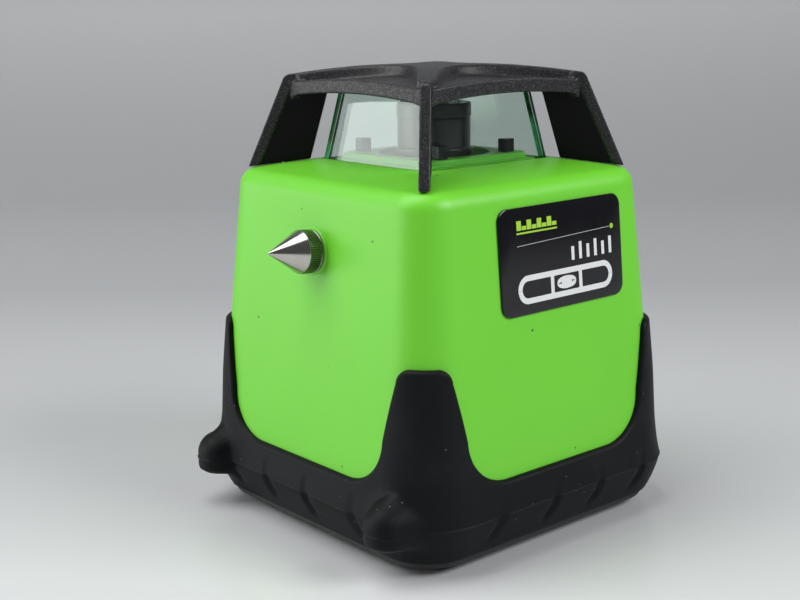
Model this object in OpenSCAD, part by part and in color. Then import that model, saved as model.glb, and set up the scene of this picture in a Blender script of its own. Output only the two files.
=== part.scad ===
// Rotating laser level: a self-levelling head in a glass lantern on a bumpered case.
// Origin on the axis of the tripod thread, on the standing plane. +Z up, -Y is the badge side,
// -X the side with the cone foot, +X the control panel, +Y the battery door. Millimetres.

/* [Case] */
// Height from the standing plane to the top of the roof
total_h = 195; // [194.5:0.5:197]
// Half width of the case at its lower edge
case_half = 76.8; // [76.6:0.1:77]
// Lean of the case sides, in degrees
draft = 5.14; // [5.1:0.02:5.2]
// Wall thickness of the case
wall = 3; // [2.6:0.1:3.2]

/* [Lantern] */
// Half width of the glass at its foot
glass_half = 34.2; // [34:0.1:34.3]
// Lean of the panes, in degrees
glass_lean = 9.76; // [9.7:0.02:9.8]
// Thickness of the panes
glass_t = 2.8; // [2.5:0.1:2.9]
// Thickness of the cage's diagonal fins
fin_t = 4.6; // [4.4:0.1:5]

/* [Rotor] */
// Radius of the rotor head
head_r = 15.5; // [15:0.1:15.6]
// Radius of the hollow spindle
spindle_r = 6; // [5.8:0.1:6.1]

/* [Fits] */
// Radial clearance of a running fit
run_fit = 0.05; // [0.03:0.01:0.08]
// Minor radius of the 5/8"-11 tripod thread
tripod_r = 6.8; // [6.7:0.05:6.9]

/* [Controls] */
// Radius of the push buttons
button_r = 4.2; // [4:0.1:4.4]
// Gap round each push button
button_gap = 0.3; // [0.3:0.05:0.4]

/* [Hidden] */
$fn = 48;
hull_fn = 32;
eps = 0.02;

// The case form: a lower rounded square, a rounded shoulder and a low plateau.
case_z0 = 14;
base_r = 22;
shoulder_z = 143;
shoulder_r = 8;
ring_r = 8;
shoulder_c = 49.2;
plateau_z = 154.6;
plateau_half = 36;
plateau_r = 3;
plinth_half = 28.2;
plinth_z = 157.2;
port_r = 22.8;
shell_z0 = 14.2;
groove_z = 152.6;

// Boot, bottom cover and feet
boot_gap = 0.25;
cover_half = 71.5;
cover_r = 20;
cover_z = 3.2;
bush_r = 12;
foot_half = 66;
foot_h = 3.1;
boss_at = 56;
post_at = 44;
cage_screw_at = 46.5;
boss_r = 4.5;
boss_h = 46;
pilot_r = 1.55;
screw_way_r = 1.7;
screw_head_r = 3.4;
latch_size = [14, 17];
block = 200;

// Faces: a face's surface stands this far out at height z.
function face(z) = 64.9 + (146.5 - z) * tan(draft);

// Levels of the inner mechanism; the gimbal's centre is at pivot_z.
pivot_z = 115;
deck_z = 18;
deck_top = 21;
motor_at = 40;
arm_z = 90;
pulley_z = 136;
pulley_r = 13;
drive_r = 4.5;
drive_at = 19.1;
head_z = 156;
cap_z = 172.4;
head_top = 178.5;

// Details on the four faces
badge_x = 8.6;
badge_z = 119.9;
badge_size = [72.3, 43.1];
cone_z = 122;
panel_z = 108;
panel_size = [66, 50];
light_r = 1.2;
cone_boss_r = 10;
insert_r = 6;
stud_r = 3.9;
door_z = 71;
door_x = 33;
door_y = 29;
door_t = 3;
door_gap = 0.3;
hinge_z = -1.6;
knuckle_r = 1.6;
pin_rod_r = 0.8;
pin_rod_h = 72.4;
shank_r = 2.3;
socket_z = 122;
socket_r = 7.1;
jack_r = 4.8;
jack_h = 11;
cap_hinge = [-11.4, 2.2];
screw_y = 25;

// x and y of each button on the panel, and of the status lights
button_places = [[-20, 6], [0, 6], [20, 6], [-20, -12], [0, -12], [20, -12]];
light_xs = [-12, 0, 12];
light_y = 18.5;

// ---- Shared shapes ----

// A square with round corners, half is half its width.
module round_square(half, r) {
    square([2 * half, 2 * (half - r)], center = true);
    square([2 * (half - r), 2 * half], center = true);
    for (x = [-1, 1], y = [-1, 1]) translate([x, y] * (half - r)) circle(r);
}

// A rectangle with round corners.
module round_rect(size, r) {
    square([size.x, size.y - 2 * r], center = true);
    square([size.x - 2 * r, size.y], center = true);
    for (x = [-1, 1], y = [-1, 1])
        translate([x * (size.x / 2 - r), y * (size.y / 2 - r)]) circle(r);
}

module slab(half, r, z, h) {
    translate([0, 0, z]) linear_extrude(h) round_square(half, r);
}

// Copies at the four corners of a square.
module corners(at) {
    for (x = [-1, 1], y = [-1, 1]) translate([x * at, y * at, 0]) children();
}

// Copies turned to the four diagonals.
module diagonals() {
    for (k = [0:3]) rotate(45 + 90 * k) children();
}

module tube(r, bore, h) {
    difference() {
        cylinder(r = r, h = h);
        translate([0, 0, -1]) cylinder(r = bore, h = h + 2);
    }
}

// The leaning plane of one case face at height z: local z points out of the face and
// local y up it. Side 0 is -Y, 1 is +X, 2 is +Y and 3 is -X.
module on_face(side, z) {
    rotate(90 * side) translate([0, -face(z), z]) rotate([90 - draft, 0, 0]) children();
}

// Section of a shoulder ring: the outer half of a circle set out from the ring's axis.
module half_round(out, r) {
    intersection() {
        translate([out, 0]) circle(r, $fn = hull_fn);
        translate([out, -2 * r]) square(4 * r);
    }
}

// The outer form of the case, grown outwards by g.
module case_form(g = 0) {
    hull() {
        corners(case_half - base_r) translate([0, 0, case_z0 - g])
            cylinder(r = base_r + g, h = 0.1, $fn = 2 * hull_fn);
        corners(shoulder_c) translate([0, 0, shoulder_z]) rotate_extrude($fn = hull_fn)
            half_round(ring_r, shoulder_r + g);
        corners(plateau_half - plateau_r) translate([0, 0, plateau_z + g - 0.1])
            cylinder(r = plateau_r, h = 0.1, $fn = hull_fn);
    }
}

module case_cavity() {
    hull() {
        corners(case_half - base_r) translate([0, 0, case_z0 - 4])
            cylinder(r = base_r - wall, h = 0.1, $fn = 2 * hull_fn);
        corners(shoulder_c) translate([0, 0, shoulder_z]) rotate_extrude($fn = hull_fn)
            half_round(ring_r, shoulder_r - wall);
        corners(30) translate([0, 0, 149.4]) cylinder(r = plateau_r, h = 0.1, $fn = hull_fn);
    }
}

// ---- Case ----

// Screw boss with a rib that reaches the corner of the wall.
module case_boss() {
    top = shell_z0 + boss_h - 0.2;
    translate([boss_at * sqrt(2), 0, shell_z0]) cylinder(r = boss_r, h = boss_h);
    rotate([90, 0, 0]) translate([0, 0, -wall / 2]) linear_extrude(wall)
        polygon([[79.2, shell_z0], [97.4, shell_z0], [94, top], [79.2, top]]);
}

module housing_shell() color([0.30, 0.65, 0.12]) difference() {
    union() {
        difference() {
            case_form();
            case_cavity();
            translate([-block / 2, -block / 2, 0]) cube([block, block, shell_z0]);
            slab(glass_half + 1, 0.5, groove_z, 5);
        }
        slab(plinth_half, 3.5, 149.4, plinth_z - 149.4);
        slab(30.5, 0.5, 149.4, plateau_z - 149.4);
        diagonals() {
            case_boss();
            translate([cage_screw_at * sqrt(2), 0, 146.5]) cylinder(r = 3.6, h = 4);
        }
        on_face(3, cone_z) translate([0, 0, -5]) cylinder(r = cone_boss_r, h = 6);
        on_face(2, door_z) translate([-latch_size.x / 2, 18.5, -7]) {
            cube([latch_size.x, latch_size.y, 3.4]);
            translate([0, 12.5, 0]) cube([latch_size.x, latch_size.y - 12.5, 6]);
        }
    }
    translate([0, 0, 140]) cylinder(r = port_r, h = 30);
    diagonals() {
        translate([boss_at * sqrt(2), 0, shell_z0 - 1]) cylinder(r = pilot_r, h = 25);
        translate([cage_screw_at * sqrt(2), 0, 140]) cylinder(r = screw_way_r, h = 20);
    }
    on_face(3, cone_z) translate([0, 0, -12]) cylinder(r = insert_r + run_fit, h = 20);
    on_face(2, door_z) {
        translate([-door_x - door_gap, -door_y - knuckle_r - door_gap, -door_t - 0.6])
            cube([2 * (door_x + door_gap), 2 * door_y + knuckle_r + 2.3 * door_gap, 10]);
        translate([0, -door_y, hinge_z]) rotate([0, 90, 0])
            cylinder(r = pin_rod_r + 0.02, h = pin_rod_h + 0.4, center = true);
        translate([0, screw_y, -9]) cylinder(r = shank_r + run_fit, h = 12);
    }
    on_face(2, socket_z) translate([0, 0, -8]) cylinder(r = socket_r + 0.2, h = 16);
    on_face(1, panel_z) {
        for (p = button_places) translate([p.x, p.y, -8])
            cylinder(r = button_r + button_gap, h = 16);
        for (x = light_xs) translate([x, light_y, -8]) cylinder(r = light_r + 0.1, h = 16);
    }
}

// Outline of the opening in the boot on each face: a flat sill, rounded ends and two
// slanting sides. x is along the face, y is height above the standing plane.
sill_z = 35;
sill_half = 30;
sill_curve = [21, 20];
horn_half = 57.4;
function window_side(s) = [
    for (t = [-90:15:0])
        [s * (sill_half + sill_curve.x * cos(t)), sill_z + sill_curve.y * (1 + sin(t))],
    [s * horn_half, 90]];
function reversed(list) = [for (i = [len(list) - 1:-1:0]) list[i]];

module boot_window() {
    rotate([90, 0, 0]) linear_extrude(60)
        polygon(concat(window_side(1), reversed(window_side(-1))));
}

// The two upright round bumps of the boot on -X, each a cylinder with a domed top.
bump_r = 9.9;
bump_x = 78.4;
bump_y = 59;
bump_z = 15.8;
bump_h = 8.8;

module rubber_boot() color([0.10, 0.11, 0.12]) difference() {
    union() {
        hull() {
            slab(74.5, 20, 6.3, 0.1);
            slab(79.7, 28, 20.8, 0.1);
            slab(79, 27, 30, 0.1);
            slab(77.4, 25, 36, 0.1);
        }
        hull() {
            slab(78, 24, 30, 0.1);
            slab(73, 22, 84.4, 0.1);
        }
        for (y = [-bump_y, bump_y]) translate([-bump_x, y, bump_z]) {
            cylinder(r = bump_r, h = bump_h);
            translate([0, 0, bump_h]) sphere(bump_r);
        }
    }
    case_form(boot_gap);
    slab(cover_half + boot_gap, cover_r + boot_gap, 0, shell_z0 + 1);
    for (k = [0:3]) rotate(90 * k) translate([0, -50, 0]) boot_window();
}

module bottom_cover() color([0.09, 0.10, 0.11]) difference() {
    union() {
        slab(cover_half, cover_r, cover_z, 3);
        difference() {
            slab(cover_half, cover_r, cover_z, 10.6);
            slab(cover_half - 2.5, cover_r - 2.5, cover_z + 2, 20);
        }
        corners(boss_at) translate([0, 0, cover_z]) cylinder(r = 5.5, h = 10.6);
        corners(post_at) translate([0, 0, cover_z]) cylinder(r = 4, h = deck_z - cover_z);
    }
    translate([0, 0, -1]) cylinder(r = bush_r + 0.3, h = 30);
    corners(boss_at) {
        translate([0, 0, -1]) cylinder(r = screw_head_r, h = 7.4);
        cylinder(r = screw_way_r, h = 30);
    }
}

// The rounded square of the feet, cut into its four corners.
module corner_feet() color([0.12, 0.12, 0.13]) intersection() {
    slab(foot_half, 19, 0, foot_h);
    corners(foot_half - 14) translate([-14, -14, -1]) cube([28, 28, 10]);
}

module tripod_bush() color([0.75, 0.72, 0.60]) difference() {
    union() {
        cylinder(r = 2 * bush_r, h = foot_h);
        cylinder(r = bush_r, h = 16);
    }
    translate([0, 0, -1]) cylinder(r = tripod_r, h = 30);
}

module case_screws() color([0.6, 0.6, 0.62]) corners(boss_at) {
    translate([0, 0, 3.6]) cylinder(r = 3.1, h = 2.8);
    translate([0, 0, 6]) cylinder(r = 1.5, h = 28);
}

module foot_insert() color([0.78, 0.62, 0.30]) on_face(3, cone_z)
    translate([0, 0, -13]) tube(insert_r, stud_r + run_fit, 13.9);

module name_badge() color([0.05, 0.05, 0.06]) on_face(0, badge_z)
    translate([badge_x, 0, 0.05]) linear_extrude(1.6) round_rect(badge_size, 5);

// ---- Lantern ----

// Half width of the glass, over its outside, at height z.
function glass_at(z) = glass_half - (z - plateau_z) * tan(glass_lean);

glass_z0 = 153.7;
glass_z1 = 186.2;
pane_h = (glass_z1 - glass_z0) / cos(glass_lean);

// One pane in its own leaning plane; inset is how far its sides stay inside the corners.
module pane(side, inset) color([0.75, 0.90, 0.85, 0.4]) rotate(90 * side)
    translate([0, -glass_at(glass_z0), glass_z0]) rotate([90 - glass_lean, 0, 0])
    translate([0, 0, -glass_t]) linear_extrude(glass_t)
        polygon([for (s = [-1, 1], end = s < 0 ? [0, 1] : [1, 0])
            [s * (glass_at(end > 0 ? glass_z1 : glass_z0) - inset), end * pane_h]]);

module window_front() pane(0, 0);
module window_rear() pane(2, 0);
module window_right() pane(1, glass_t + 0.3);
module window_left() pane(3, glass_t + 0.3);

module window_seal() color([0.08, 0.08, 0.08]) difference() {
    slab(34.8, 0.5, groove_z + eps, 0.5);
    slab(31, 0.5, groove_z - 1, 5);
}

// Outline of a diagonal fin and its roof rib: x is the distance from the axis.
fin_outline = [[0, total_h], [28.3, total_h - 0.5], [46.7, total_h - 2], [62.3, total_h - 4],
    [64.6, total_h - 5.2], [65.6, total_h - 8], [81.8, 150.9], [77.9, 151.3], [54.3, 154.4],
    [46.4, 182.3], [44, 187.3], [0, 187.3]];
fascia_half = 45;
fascia_t = 2.5;
roof_z = 187;

module fin() {
    rotate([90, 0, 0]) translate([0, 0, -fin_t / 2]) linear_extrude(fin_t) polygon(fin_outline);
}

// One arched strip of the roof's edge. rise is how much its middle stands above its ends.
module fascia() {
    rise = 3;
    low = 181.3;
    high = 187.4;
    steps = 8;
    translate([0, -fascia_half + fascia_t, 0]) rotate([90, 0, 0]) linear_extrude(fascia_t)
        polygon(concat(
            [for (i = [0:steps]) let (u = i / steps * 2 - 1)
                [u * 44.4, low + rise * (1 - u * u)]],
            [for (i = [steps:-1:0]) let (u = i / steps * 2 - 1)
                [u * 43, high + rise * (1 - u * u) * 0.9]]));
}

module top_cage() color([0.13, 0.13, 0.14]) difference() {
    union() {
        diagonals() fin();
        for (k = [0:3]) rotate(90 * k) fascia();
        hull() {
            slab(44, 3, roof_z - 0.4, 0.8);
            slab(3, 1, total_h - 2.6, 0.1);
        }
    }
    hull() {
        slab(36, 2, roof_z - 2, 0.4);
        slab(3, 1, total_h - 5, 0.1);
    }
    slab(41.5, 2, 180, roof_z - 180 - 0.35);
    diagonals() translate([cage_screw_at * sqrt(2), 0, 146]) cylinder(r = 1.3, h = 15);
}

module cage_screws() color([0.6, 0.6, 0.62]) diagonals()
    translate([cage_screw_at * sqrt(2), 0, 0]) {
        translate([0, 0, 144]) cylinder(r = 2.8, h = 2.5);
        translate([0, 0, 146]) cylinder(r = 1.25, h = 14);
    }

module remote_receivers() color([0.05, 0.05, 0.05])
    for (x = [-19.3, 19.3], y = [-23.3, 23.3])
        translate([x - 2.5, y - 2.5, plinth_z]) cube([5, 5, 5.7]);

// ---- Control panel, on +X ----

module control_panel() color([0.07, 0.07, 0.08]) on_face(1, panel_z) difference() {
    translate([0, 0, 0.05]) linear_extrude(1.2) round_rect(panel_size, 5);
    for (p = button_places) translate([p.x, p.y, -1]) cylinder(r = button_r + button_gap, h = 4);
    for (x = light_xs) translate([x, light_y, -1]) cylinder(r = light_r + 0.1, h = 4);
}

module push_button(i) color([0.20, 0.21, 0.22]) on_face(1, panel_z)
    translate([button_places[i].x, button_places[i].y, -3.4]) cylinder(r = button_r, h = 6);

module power_button() push_button(0);
module speed_button() push_button(1);
module scan_button() push_button(2);
module mode_button() push_button(3);
module up_button() push_button(4);
module down_button() push_button(5);

module status_lights() color([0.9, 0.2, 0.1]) on_face(1, panel_z) for (x = light_xs)
    translate([x, light_y, -5.2]) {
        cylinder(r = light_r, h = 6);
        translate([0, 0, 6]) sphere(light_r);
    }

module panel_board() color([0.05, 0.35, 0.18]) on_face(1, panel_z) {
    translate([-31, -19, -7]) cube([62, 42, 1.6]);
    for (p = button_places) translate([p.x - 2, p.y - 2, -5.4]) cube([4, 4, 0.8]);
}

// The main board stands on the chassis floor, with its larger chips on its inner side.
module main_board() color([0.05, 0.35, 0.18]) {
    translate([47, -30, deck_top]) cube([1.6, 60, 54]);
    translate([44.8, -12, 34]) cube([2.3, 14, 14]);
    translate([45.2, 8, 42]) cube([1.9, 9, 12]);
    translate([43, -26, 56]) cube([4.1, 8, 12]);
}

// ---- Battery compartment and charging socket, on +Y ----

cell_r = 7.2;
cell_h = 49.2;
cell_z = -15.2;
cell_xs = [-22.5, -7.5, 7.5, 22.5];
cell_y0 = -23.4;

module battery_tray() color([0.15, 0.15, 0.16]) on_face(2, door_z) difference() {
    translate([-32, -28, -24]) cube([64, 56, 15]);
    for (x = cell_xs) {
        translate([x, -26.5, cell_z]) rotate([-90, 0, 0]) cylinder(r = cell_r + 0.1, h = 53);
        translate([x - 7, -26.5, cell_z]) cube([14, 53, 10]);
    }
}

// Four AA cells, each with its raised terminal.
module battery_cells() color([0.75, 0.55, 0.15]) on_face(2, door_z) for (x = cell_xs)
    translate([x, cell_y0, cell_z]) rotate([-90, 0, 0]) {
        cylinder(r = cell_r, h = cell_h - 1.4);
        cylinder(r = 2.6, h = cell_h);
    }

// Contact springs at the flat end of each cell: three closed rings that touch.
module battery_springs() color([0.8, 0.8, 0.82]) on_face(2, door_z) for (x = cell_xs)
    translate([x, -26, cell_z]) rotate([-90, 0, 0]) for (i = [0:2])
        translate([0, 0, 0.9 * i]) rotate_extrude($fn = 24)
            translate([4.2 - 0.4 * i, 0]) circle(0.5, $fn = 16);

module battery_door() color([0.28, 0.60, 0.12]) on_face(2, door_z) difference() {
    union() {
        translate([-door_x, -door_y, -door_t]) cube([2 * door_x, 2 * door_y, door_t]);
        translate([0, -door_y, hinge_z]) rotate([0, 90, 0])
            cylinder(r = knuckle_r, h = 2 * door_x, center = true);
    }
    translate([0, -door_y, hinge_z]) rotate([0, 90, 0])
        cylinder(r = pin_rod_r + run_fit, h = 80, center = true);
    translate([0, screw_y, -5]) cylinder(r = shank_r + run_fit, h = 10);
}

module door_hinge_pin() color([0.7, 0.7, 0.72]) on_face(2, door_z)
    translate([0, -door_y, hinge_z]) rotate([0, 90, 0])
        cylinder(r = pin_rod_r, h = pin_rod_h, center = true);

module door_thumb_screw() color([0.10, 0.10, 0.11]) on_face(2, door_z)
    translate([0, screw_y, 0]) {
        translate([0, 0, 0.3]) cylinder(r = 4, h = 2.6);
        translate([-0.8, -3.4, 2.8]) cube([1.6, 6.8, 1]);
        translate([0, 0, -6]) cylinder(r = shank_r, h = 6.4);
    }

module charge_socket() color([0.10, 0.10, 0.11]) on_face(2, socket_z) difference() {
    union() {
        translate([0, -1.4, 0.05]) linear_extrude(0.8) round_rect([23, 25], 3);
        translate([0, 0, -jack_h - 2]) cylinder(r = socket_r, h = jack_h + 2.2);
        for (x = [-7, 4.3]) translate([x, cap_hinge.x - 1.4, 0.4]) cube([2.7, 2.8, 3.2]);
    }
    translate([0, 0, -jack_h]) cylinder(r = jack_r, h = jack_h + 2);
    translate([0, cap_hinge.x, cap_hinge.y]) rotate([0, 90, 0])
        cylinder(r = 0.65, h = 30, center = true);
}

module socket_cap() color([0.14, 0.14, 0.15]) on_face(2, socket_z) {
    translate([0, 0, 1.2]) cylinder(r = 8.5, h = 1.6);
    translate([0, 0, 1]) cylinder(r = jack_r - 0.4, h = 0.6);
    translate([-3, cap_hinge.x, 1.2]) cube([6, 6, 1.6]);
    translate([0, cap_hinge.x, cap_hinge.y]) rotate([0, 90, 0]) {
        cylinder(r = 1.05, h = 8, center = true);
        cylinder(r = 0.6, h = 13.6, center = true);
    }
}

// ---- Cone foot, on -X ----

module foot_washer() color([0.75, 0.75, 0.76]) on_face(3, cone_z)
    translate([0, 0, 1.02]) tube(9.3, 4.2, 0.96);

module cone_foot() color([0.80, 0.78, 0.74]) on_face(3, cone_z) {
    translate([0, 0, 2]) cylinder(r = 9, h = 5.2);
    translate([0, 0, 7.2]) rotate_extrude() polygon([[0, 0], [8.2, 0], [8.2, 0.5], [0.5, 15.3],
        [0, 15.3]]);
    translate([0, 0, -12]) cylinder(r = stud_r, h = 14.2);
}

// ---- Gimbal ----

pin_r = 2;
trunnion_r = 24;

module gimbal_chassis() color([0.55, 0.56, 0.58]) difference() {
    union() {
        slab(52, 6, deck_z, deck_top - deck_z);
        corners(33) translate([0, 0, deck_z]) cylinder(r = 4, h = 101);
        translate([0, 0, 118]) tube(50, 38, 4);
        for (s = [-1, 1]) translate([s * 36.5 - 5.5, -6, 109]) cube([11, 12, 12]);
    }
    translate([0, 0, 10]) cylinder(r = 16, h = 20);
    translate([0, 0, pivot_z]) rotate([0, 90, 0])
        cylinder(r = pin_r + run_fit, h = 74.4, center = true);
}

module gimbal_ring() color([0.62, 0.63, 0.66]) difference() {
    translate([0, 0, pivot_z - 3]) tube(29, trunnion_r, 6);
    translate([0, 0, pivot_z]) for (a = [0, 90]) rotate([0, 90, a])
        cylinder(r = pin_r + 0.01, h = 80, center = true);
}

// Two pins turn in the chassis (along X) and two in the laser barrel (along Y).
module gimbal_pins() color([0.78, 0.78, 0.80]) translate([0, 0, pivot_z]) for (s = [-1, 1]) {
    rotate([0, 90, 0]) translate([0, 0, s * 30.3 - 6.1]) cylinder(r = pin_r, h = 12.2);
    rotate([90, 0, 0]) translate([0, 0, s * 21.9 - 6.9]) cylinder(r = pin_r, h = 13.8);
}

// Level motor: a can on the chassis floor with a short neck.
module level_motor() {
    translate([0, 0, deck_top]) cylinder(r = 9, h = 33);
    translate([0, 0, deck_top + 32]) tube(5, 2.6, 3);
}

module level_motor_a() color([0.5, 0.5, 0.52]) translate([-motor_at, 0, 0]) level_motor();
module level_motor_b() color([0.5, 0.5, 0.52]) translate([0, -motor_at, 0]) level_motor();

// Plunger: a rod with a fork whose cross pin lifts the arm of the laser barrel.
module level_plunger() {
    translate([0, 0, 58]) cylinder(r = 2.5, h = 20);
    translate([-4, -7.5, 78]) cube([8, 15, 3]);
    for (s = [-1, 1]) translate([-4, s * 6.25 - 1.25, 78]) cube([8, 2.5, arm_z - 78 + 4]);
    translate([0, 0, arm_z]) rotate([90, 0, 0]) cylinder(r = 1.5, h = 13, center = true);
}

module level_plunger_a() color([0.7, 0.7, 0.72]) translate([-motor_at, 0, 0]) level_plunger();
module level_plunger_b() color([0.7, 0.7, 0.72]) translate([0, -motor_at, 0]) rotate(90)
    level_plunger();

// ---- Laser module ----

barrel_z0 = 84;
barrel_z1 = 132.5;
barrel_r = 14;
bearing_r = 10.5;
bearing_zs = [100, 127];

// Arm with an open slot for the plunger's cross pin.
module barrel_arm() difference() {
    translate([-46, -2, arm_z - 5]) cube([36, 4, 10]);
    translate([-47, -3, arm_z - 2.3]) cube([12, 6, 4.6]);
}

module laser_barrel() color([0.35, 0.36, 0.38]) difference() {
    union() {
        translate([0, 0, barrel_z0]) cylinder(r = barrel_r, h = barrel_z1 - barrel_z0);
        for (a = [0, 90]) rotate(a) barrel_arm();
        translate([0, 0, pivot_z]) rotate([90, 0, 0]) cylinder(r = 4.5, h = 43, center = true);
        translate([0, 0, 123.2]) rotate(45) {
            translate([0, -8, 0]) cube([drive_at * sqrt(2), 16, 2.7]);
            translate([drive_at * sqrt(2), 0, 0]) cylinder(r = 9, h = 2.7);
        }
    }
    translate([0, 0, 98]) cylinder(r = bearing_r, h = 50);
    translate([0, 0, 80]) cylinder(r = 8.6, h = 30);
    translate([0, 0, pivot_z]) rotate([90, 0, 0])
        cylinder(r = pin_r + run_fit, h = 60, center = true);
}

module laser_tube() color([0.72, 0.55, 0.30]) difference() {
    translate([0, 0, 60]) cylinder(r = 8.5, h = 37);
    translate([0, 0, 64]) cylinder(r = 6.5, h = 40);
}

module collimator_lens() color([0.7, 0.8, 0.9, 0.5]) translate([0, 0, 92])
    cylinder(r = 6.45, h = 3);

module spindle_bearings() color([0.7, 0.7, 0.72]) for (z = bearing_zs) translate([0, 0, z])
    tube(bearing_r - run_fit, spindle_r + run_fit, 5);

module spin_motor() color([0.45, 0.46, 0.48]) translate([drive_at, drive_at, 125.95])
    cylinder(r = 8.5, h = 9);

module level_vials() color([0.6, 0.8, 0.3, 0.6]) {
    translate([-7, barrel_r + 2.6, 100]) rotate([0, 90, 0]) cylinder(r = 2.5, h = 14);
    translate([barrel_r + 2.6, 7, 100]) rotate([90, 0, 0]) cylinder(r = 2.5, h = 14);
}

// Flat belt round the two pulleys, a hair larger than their rims.
module belt_path(g) {
    hull() {
        circle(pulley_r + g);
        translate([drive_at, drive_at]) circle(drive_r + g);
    }
}

module drive_belt() color([0.06, 0.06, 0.06]) translate([0, 0, pulley_z + 1])
    linear_extrude(4) difference() {
        belt_path(1.1);
        belt_path(0.1);
    }

// ---- Rotor ----

module rotor_spindle() color([0.75, 0.75, 0.77]) difference() {
    union() {
        translate([0, 0, 98.5]) cylinder(r = spindle_r, h = 44);
        translate([0, 0, 142.1]) cylinder(r = 9, h = head_z - 142.1);
    }
    translate([0, 0, 90]) cylinder(r = 3.5, h = 80);
}

module rotor_pulley() color([0.2, 0.2, 0.22]) translate([0, 0, pulley_z])
    tube(pulley_r, spindle_r + 0.01, 6);

// Head: a cup with a flange at its foot and the beam's window towards +X +Y.
window_dir = 45;
window_z = 166;

module rotor_head() color([0.06, 0.06, 0.07]) difference() {
    union() {
        translate([0, 0, head_z]) cylinder(r = head_r + 0.4, h = 3.4);
        translate([0, 0, head_z]) cylinder(r = head_r, h = cap_z - head_z);
    }
    translate([0, 0, head_z + 2.6]) cylinder(r = head_r - 2.3, h = 30);
    translate([0, 0, head_z - 1]) cylinder(r = 3.5, h = 10);
    rotate(window_dir) translate([10, -5, window_z - 5]) cube([10, 10, 10]);
}

module rotor_cap() color([0.07, 0.07, 0.08]) {
    translate([0, 0, cap_z]) cylinder(r = head_r + 0.3, h = 3.1);
    translate([0, 0, cap_z + 3.1]) cylinder(r = head_r - 0.4, h = head_top - cap_z - 3.1);
}

// Five-sided prism, cut so that the upward beam leaves level towards the window.
module pentaprism() color([0.7, 0.85, 0.9, 0.5]) rotate(window_dir) rotate([90, 0, 0])
    translate([0, head_z + 3, -5]) linear_extrude(10)
        polygon([[-5, 0], [5, 0], [5, 10], [-2, 12.8], [-7.5, 7.2]]);

module head_lens() color([0.7, 0.8, 0.9, 0.5]) rotate(window_dir)
    translate([13.4, -4.9, window_z - 4.9]) cube([1.4, 9.8, 9.8]);

module motor_pulley() color([0.75, 0.65, 0.35]) translate([drive_at, drive_at, 0]) {
    translate([0, 0, pulley_z]) cylinder(r = drive_r, h = 6);
    translate([0, 0, 135]) cylinder(r = 1.5, h = 2);
}

housing_shell();
rubber_boot();
bottom_cover();
corner_feet();
tripod_bush();
case_screws();
top_cage();
cage_screws();
window_front();
window_right();
window_rear();
window_left();
window_seal();
remote_receivers();
name_badge();
foot_insert();
control_panel();
panel_board();
status_lights();
main_board();
battery_tray();
battery_cells();
battery_springs();
charge_socket();
door_hinge_pin();
gimbal_chassis();
level_motor_a();
level_motor_b();
battery_door();
door_thumb_screw();
socket_cap();
foot_washer();
cone_foot();
power_button();
speed_button();
scan_button();
mode_button();
up_button();
down_button();
gimbal_ring();
gimbal_pins();
level_plunger_a();
level_plunger_b();
laser_barrel();
laser_tube();
collimator_lens();
spindle_bearings();
spin_motor();
drive_belt();
level_vials();
rotor_spindle();
rotor_pulley();
rotor_head();
rotor_cap();
pentaprism();
head_lens();
motor_pulley();
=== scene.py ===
"""Looks of the rotating laser level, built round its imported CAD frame.

Shapes are worked out in millimetres in the CAD's own frame and turned into metres when a mesh
is made. Side 0 of the case is -Y (badge), 1 is +X (panel), 2 is +Y (door), 3 is -X (cone foot).
"""

import math

import bmesh
import bpy
from mathutils import Matrix, Vector


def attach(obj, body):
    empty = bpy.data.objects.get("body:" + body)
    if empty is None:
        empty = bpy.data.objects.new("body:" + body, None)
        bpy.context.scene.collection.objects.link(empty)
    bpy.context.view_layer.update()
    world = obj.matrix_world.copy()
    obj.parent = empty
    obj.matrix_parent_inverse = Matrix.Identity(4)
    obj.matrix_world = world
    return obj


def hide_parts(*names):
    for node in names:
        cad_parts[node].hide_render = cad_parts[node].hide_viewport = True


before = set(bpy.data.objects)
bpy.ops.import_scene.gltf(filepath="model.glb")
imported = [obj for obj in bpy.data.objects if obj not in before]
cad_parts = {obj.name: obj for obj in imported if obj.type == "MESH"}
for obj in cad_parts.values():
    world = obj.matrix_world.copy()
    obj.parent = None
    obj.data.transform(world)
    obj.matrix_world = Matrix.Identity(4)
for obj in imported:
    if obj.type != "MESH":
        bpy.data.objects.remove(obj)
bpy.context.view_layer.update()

MM = 0.001
LEAN = math.radians(5.14)

CORNERS = ((-1, -1), (-1, 1), (1, -1), (1, 1))

# The case form in millimetres: _Z are heights, _HALF half widths and _R corner radii.
CASE_Z0 = 14.2
CASE_R = 22
CASE_R_Z = 14
CASE_R_LOSS = 6
CASE_R_RUN = 129.7
TOE_IN = 1.8
EAVES_Z = 146.5
EAVES_HALF = 64.9
SHOULDER_Z = 143
SHOULDER_R = 8
SHOULDER_HALF = 57.2
PLATEAU_Z = 154.6
PLATEAU_HALF = 36
PLINTH_HALF = 28.2
PLINTH_Z = 157.2
PLINTH_R = 3.6
PORT_R = 22.8
DECK_Z = 149.5
GROOVE_Z = 152.6
WALL = 3


def face_at(z):
    """How far out a side of the case stands at height z."""
    return EAVES_HALF + (EAVES_Z - z) * math.tan(LEAN)


def case_radius(z):
    """Plan radius of the case's corners at height z: it shrinks steadily upwards."""
    return CASE_R - (z - CASE_R_Z) / CASE_R_RUN * CASE_R_LOSS


def move(x, y, z):
    return Matrix.Translation((x, y, z))


def rotate(degrees, axis="Z"):
    return Matrix.Rotation(math.radians(degrees), 4, axis)


def sin_cos(degrees):
    return math.sin(math.radians(degrees)), math.cos(math.radians(degrees))


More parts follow.
